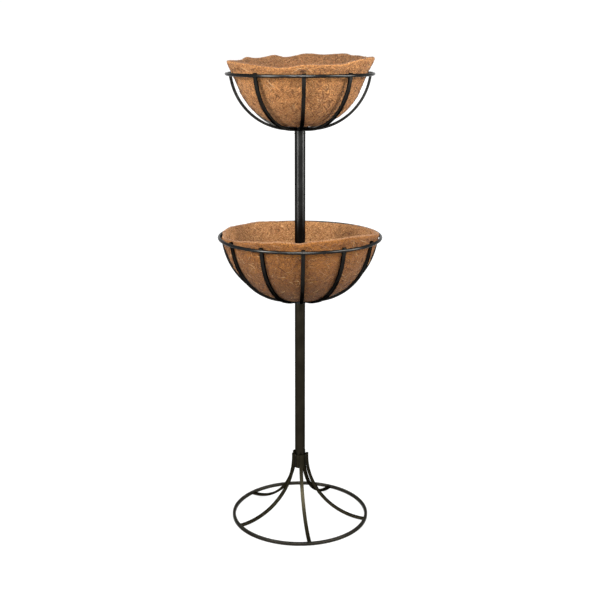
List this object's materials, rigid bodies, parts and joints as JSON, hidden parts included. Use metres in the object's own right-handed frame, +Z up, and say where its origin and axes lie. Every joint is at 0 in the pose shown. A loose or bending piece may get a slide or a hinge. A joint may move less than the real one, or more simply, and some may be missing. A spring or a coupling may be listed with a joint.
{
  "type": "plant stand",
  "caption": "Tall two-tier metal plant stand: ring base, slim post, and two open bowls with coir liners.",
  "frame": {"origin": "on the floor, at the centre of the base ring and on the axis of the posts", "axes": "+Z up along the posts, -Y towards the front as the picture shows it, +X to the right"},
  "size_m": [0.4223, 0.4224, 1.2309],
  "materials": {
    "painted_bar": "satin black powder coat",
    "painted_tube": "satin black powder coat",
    "coir": "rough pressed coconut fibre"
  },
  "bodies": {
    "base": {"base_leg_1": "painted_bar", "base_leg_2": "painted_bar", "base_leg_3": "painted_bar", "base_leg_4": "painted_bar", "base_leg_5": "painted_bar", "base_ring": "painted_bar", "base_socket": "painted_tube", "base_socket_stop": "painted_tube"},
    "lower_post": {"lower_post": "painted_tube"},
    "lower_basket": {"lower_hub": "painted_tube", "lower_rib_01": "painted_bar", "lower_rib_02": "painted_bar", "lower_rib_03": "painted_bar", "lower_rib_04": "painted_bar", "lower_rib_05": "painted_bar", "lower_rib_06": "painted_bar", "lower_rib_07": "painted_bar", "lower_rib_08": "painted_bar", "lower_rib_09": "painted_bar", "lower_rib_10": "painted_bar", "lower_rib_11": "painted_bar", "lower_rib_12": "painted_bar", "lower_ring": "painted_bar", "lower_sleeve": "painted_tube"},
    "lower_liner": {"lower_liner": "coir"},
    "upper_post": {"upper_post": "painted_tube"},
    "upper_basket": {"upper_hub": "painted_tube", "upper_rib_01": "painted_bar", "upper_rib_02": "painted_bar", "upper_rib_03": "painted_bar", "upper_rib_04": "painted_bar", "upper_rib_05": "painted_bar", "upper_rib_06": "painted_bar", "upper_rib_07": "painted_bar", "upper_rib_08": "painted_bar", "upper_rib_09": "painted_bar", "upper_ring": "painted_bar", "upper_sleeve": "painted_tube"},
    "upper_liner": {"upper_liner": "coir"}
  },
  "joints": [
    {"name": "lower_post_lift", "type": "slide", "parent": "base", "child": "lower_post", "axis": [0, 0, 1], "range_m": [0, 0.034]},
    {"name": "lower_basket_turn", "type": "hinge", "parent": "lower_post", "child": "lower_basket", "pos_m": [0, 0, 0.60205], "axis": [0, 0, 1], "continuous": true},
    {"name": "lower_liner_lift", "type": "slide", "parent": "lower_basket", "child": "lower_liner", "axis": [0, 0, 1], "range_m": [0, 0.2]},
    {"name": "upper_post_lift", "type": "slide", "parent": "lower_basket", "child": "upper_post", "axis": [0, 0, 1], "range_m": [0, 0.048]},
    {"name": "upper_basket_turn", "type": "hinge", "parent": "upper_post", "child": "upper_basket", "pos_m": [0, 0, 1.04105], "axis": [0, 0, 1], "continuous": true},
    {"name": "upper_liner_lift", "type": "slide", "parent": "upper_basket", "child": "upper_liner", "axis": [0, 0, 1], "range_m": [0, 0.25]}
  ]
}
